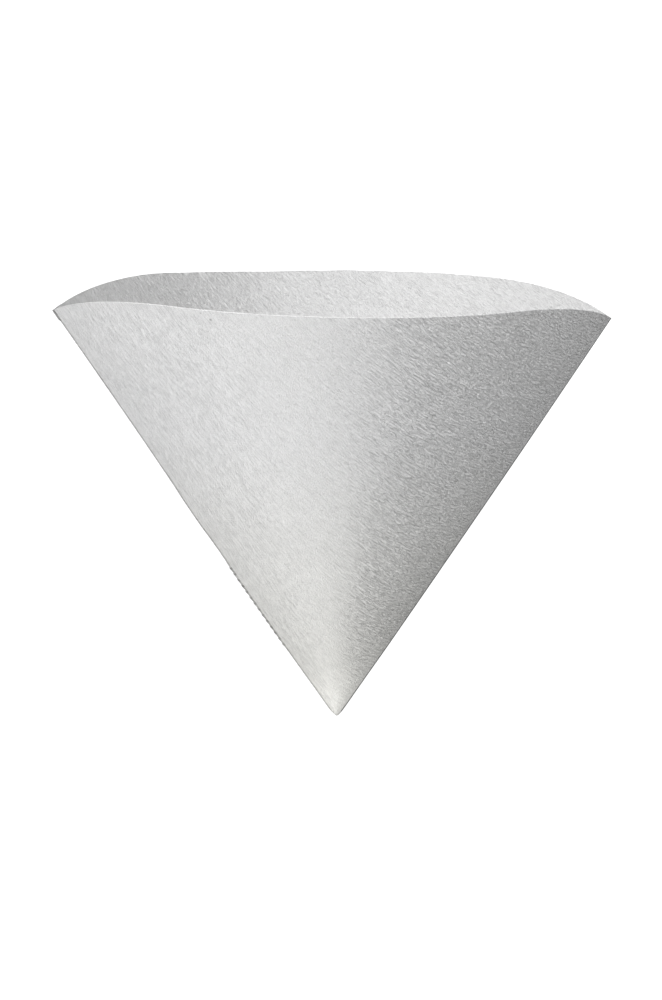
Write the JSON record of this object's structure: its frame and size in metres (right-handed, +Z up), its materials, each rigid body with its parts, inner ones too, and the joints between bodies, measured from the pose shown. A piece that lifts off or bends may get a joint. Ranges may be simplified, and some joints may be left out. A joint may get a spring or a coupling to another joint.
{
  "type": "cone coffee filter",
  "caption": "Cone of creped white filter paper, folded once from a flat sheet, with a crimped seam folded behind, opened and lying on its back.",
  "frame": {"origin": "under the middle of the part's box, on the surface that it lies on", "axes": "+X across the mouth from the seam crease to the fold crease, +Y from the tip towards the mouth, +Z up from the rear ply that it lies on"},
  "size_m": [0.1344, 0.12, 0.1017],
  "materials": {
    "filter_paper": "matte"
  },
  "bodies": {
    "root": {"filter_paper": "filter_paper"}
  },
  "joints": []
}
